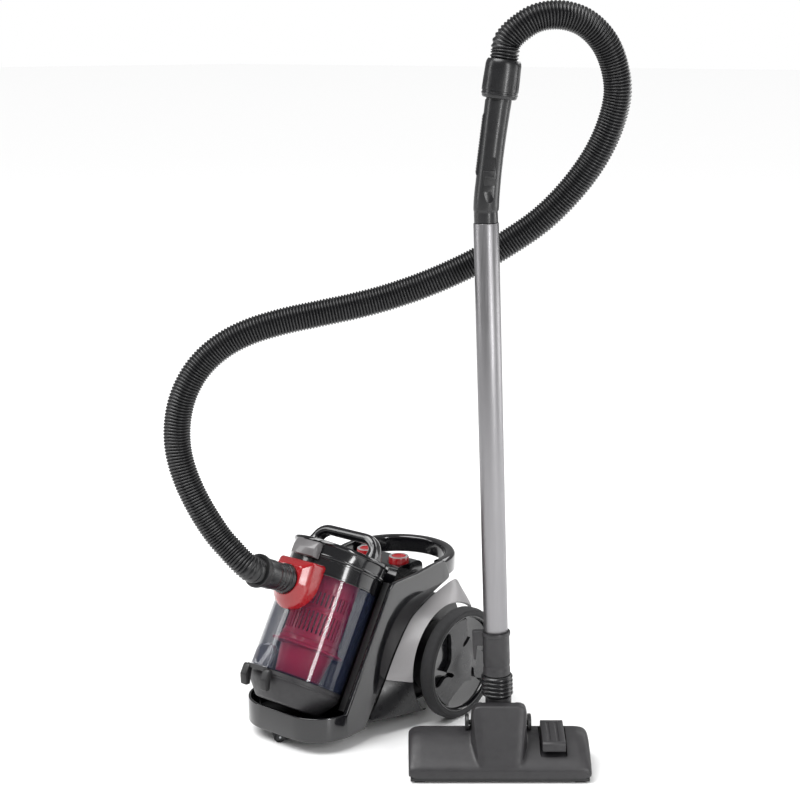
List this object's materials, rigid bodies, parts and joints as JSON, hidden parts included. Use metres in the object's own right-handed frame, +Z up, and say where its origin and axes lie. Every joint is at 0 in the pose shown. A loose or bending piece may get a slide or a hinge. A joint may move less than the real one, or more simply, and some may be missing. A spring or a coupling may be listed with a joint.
{
  "type": "canister vacuum cleaner",
  "caption": "Bagless cyclone canister vacuum cleaner with a lift-out bin, two road wheels, a caster, a corrugated hose, a metal wand and a tilting floor head.",
  "frame": {"origin": "on the floor, at the middle of the box round everything except the hose and what is on it", "axes": "+Z up along the wand; -Y is the way the canister rolls forward; +X is the side where the floor head stands"},
  "size_m": [0.5865, 0.5075, 1.0901],
  "materials": {
    "gloss_black_abs": "polished moulding",
    "black_plastic": "fine satin texture",
    "silver_painted_abs": "metallic lacquer",
    "red_plastic": "polished moulding",
    "smoke_clear_plastic": "polished clear moulding",
    "dark_grey_plastic": "spark-eroded texture",
    "tyre_rubber": "matt",
    "steel": "turned",
    "satin_steel_tube": "satin chrome plate",
    "hose_plastic": "corrugated, satin",
    "filter_fleece": "pleated fleece"
  },
  "bodies": {
    "chassis": {"body_frame": "gloss_black_abs", "base_pan": "black_plastic", "motor_housing": "black_plastic", "button_block": "gloss_black_abs", "exhaust_grille": "black_plastic", "exhaust_filter": "filter_fleece", "power_switch": "black_plastic", "crescent_panel_right": "silver_painted_abs", "crescent_panel_left": "silver_painted_abs", "side_skirt_right": "black_plastic", "side_skirt_left": "black_plastic", "side_cover_right": "black_plastic", "side_cover_left": "black_plastic", "stub_axle_right": "steel", "stub_axle_left": "steel", "motor_case": "steel", "cord_outlet": "black_plastic", "bin_cradle": "black_plastic"},
    "wheel_right": {"tyre_right": "tyre_rubber", "wheel_disc_right": "black_plastic"},
    "wheel_left": {"tyre_left": "tyre_rubber", "wheel_disc_left": "black_plastic"},
    "caster_swivel": {"caster_fork": "black_plastic", "caster_pin": "steel"},
    "caster_wheel": {"caster_roller": "tyre_rubber"},
    "power_key": {"power_button": "red_plastic"},
    "rewind_key": {"rewind_button": "red_plastic"},
    "rotor": {"motor_shaft": "steel", "fan_impeller": "silver_painted_abs"},
    "reel": {"cord_reel": "black_plastic"},
    "bin": {"bin_canister": "smoke_clear_plastic", "bin_collar": "gloss_black_abs", "inlet_port": "red_plastic", "latch_plate": "smoke_clear_plastic"},
    "flap": {"bin_flap": "dark_grey_plastic"},
    "clamp": {"flap_latch": "black_plastic"},
    "lid": {"bin_cover": "gloss_black_abs", "bin_handle": "gloss_black_abs", "cyclone_shroud": "red_plastic", "cyclone_cone": "red_plastic", "filter_cartridge": "filter_fleece"},
    "release": {"release_button": "silver_painted_abs"},
    "hose_line": {"hose_plug": "black_plastic", "hose": "hose_plastic", "handle_grip": "black_plastic", "grip_strip": "tyre_rubber"},
    "collar": {"plug_collar": "black_plastic"},
    "cuff": {"hose_cuff": "black_plastic"},
    "bleed_slider": {"air_slider": "black_plastic"},
    "wand": {"wand_tube": "satin_steel_tube", "neck_socket": "dark_grey_plastic"},
    "neck": {"swivel_collar": "dark_grey_plastic", "neck_yoke": "dark_grey_plastic"},
    "head": {"head_shell": "dark_grey_plastic", "hinge_pin": "steel", "sole_plate": "black_plastic"},
    "floor_pedal": {"pedal": "dark_grey_plastic"},
    "brush": {"brush_bar": "tyre_rubber"},
    "head_wheel_left": {"head_roller_left": "tyre_rubber"},
    "head_wheel_right": {"head_roller_right": "tyre_rubber"}
  },
  "joints": [
    {"name": "wheel_right_roll", "type": "hinge", "parent": "chassis", "child": "wheel_right", "pos_m": [-0.0043, 0.1003, 0.088], "axis": [1, 0, 0], "continuous": true},
    {"name": "wheel_left_roll", "type": "hinge", "parent": "chassis", "child": "wheel_left", "pos_m": [-0.2823, 0.1003, 0.088], "axis": [1, 0, 0], "continuous": true},
    {"name": "caster_turn", "type": "hinge", "parent": "chassis", "child": "caster_swivel", "pos_m": [-0.1433, -0.1397, 0.024], "axis": [0, 0, 1], "continuous": true},
    {"name": "caster_roll", "type": "hinge", "parent": "caster_swivel", "child": "caster_wheel", "pos_m": [-0.15315, -0.15231, 0.0095], "axis": [-0.788, 0.6157, 0], "continuous": true},
    {"name": "power_press", "type": "slide", "parent": "chassis", "child": "power_key", "axis": [0, 0, -1], "range_m": [0, 0.004], "stiffness_N_per_m": 600, "springref_m": -0.003},
    {"name": "rewind_press", "type": "slide", "parent": "chassis", "child": "rewind_key", "axis": [0, 0, -1], "range_m": [0, 0.004], "stiffness_N_per_m": 600, "springref_m": -0.003},
    {"name": "rotor_spin", "type": "hinge", "parent": "chassis", "child": "rotor", "pos_m": [-0.1433, 0.0643, 0.096], "axis": [1, 0, 0], "continuous": true},
    {"name": "reel_spin", "type": "hinge", "parent": "chassis", "child": "reel", "pos_m": [-0.0803, 0.1363, 0.092], "axis": [1, 0, 0], "continuous": true},
    {"name": "bin_lift", "type": "slide", "parent": "chassis", "child": "bin", "axis": [0, 0.524, 0.8517], "range_m": [0, 0.22]},
    {"name": "flap_drop", "type": "hinge", "parent": "bin", "child": "flap", "pos_m": [-0.1433, -0.06252, 0.05452], "axis": [1, 0, 0], "range_deg": [0, 20]},
    {"name": "clamp_open", "type": "hinge", "parent": "bin", "child": "clamp", "pos_m": [-0.1513, -0.19706, 0.13259], "axis": [-1, 0, 0], "range_deg": [0, 20], "stiffness_Nm_per_rad": 0.4, "springref_deg": -8.59},
    {"name": "lid_lift", "type": "slide", "parent": "bin", "child": "lid", "axis": [0, 0.524, 0.8517], "range_m": [0, 0.15]},
    {"name": "release_press", "type": "slide", "parent": "lid", "child": "release", "axis": [0, -0.524, -0.8517], "range_m": [0, 0.003], "stiffness_N_per_m": 600, "springref_m": -0.002},
    {"name": "hose_unplug", "type": "slide", "parent": "bin", "child": "hose_line", "axis": [0, -0.9063, 0.4226], "range_m": [0, 0.055]},
    {"name": "collar_turn", "type": "hinge", "parent": "hose_line", "child": "collar", "pos_m": [-0.1433, -0.19859, 0.28335], "axis": [0, -0.9063, 0.4226], "continuous": true},
    {"name": "cuff_turn", "type": "hinge", "parent": "hose_line", "child": "cuff", "pos_m": [0.14269, -0.00998, 0.98732], "axis": [0.0964, 0.0792, 0.9922], "continuous": true},
    {"name": "bleed_slide", "type": "slide", "parent": "hose_line", "child": "bleed_slider", "axis": [-0.027, -0.0221, 0.9994], "range_m": [0, 0.015]},
    {"name": "wand_turn", "type": "hinge", "parent": "hose_line", "child": "wand", "pos_m": [0.13733, -0.01438, 0.46376], "axis": [-0.027, -0.0221, 0.9994], "continuous": true},
    {"name": "neck_turn", "type": "hinge", "parent": "wand", "child": "neck", "pos_m": [0.1465, -0.00685, 0.12396], "axis": [-0.027, -0.0221, 0.9994], "range_deg": [-90, 90]},
    {"name": "neck_tilt", "type": "hinge", "parent": "neck", "child": "head", "pos_m": [0.14812, -0.00552, 0.064], "axis": [0.7727, 0.6347, 0], "range_deg": [0, 75]},
    {"name": "pedal_rock", "type": "hinge", "parent": "head", "child": "floor_pedal", "pos_m": [0.20928, 0.04213, 0.058], "axis": [0.7727, 0.6347, 0], "range_deg": [0, 8]},
    {"name": "brush_drop", "type": "slide", "parent": "head", "child": "brush", "axis": [0, 0, -1], "range_m": [0, 0.005]},
    {"name": "head_roll_left", "type": "hinge", "parent": "head", "child": "head_wheel_left", "pos_m": [0.07202, -0.03891, 0.008], "axis": [0.7727, 0.6347, 0], "continuous": true},
    {"name": "head_roll_right", "type": "hinge", "parent": "head", "child": "head_wheel_right", "pos_m": [0.19566, 0.06265, 0.008], "axis": [0.7727, 0.6347, 0], "continuous": true}
  ],
  "couplings": [
    {"joint": "flap_drop", "follows": "bin_lift", "rad_per_m": 1.5851},
    {"joint": "brush_drop", "follows": "pedal_rock", "m_per_rad": 0.035774}
  ]
}
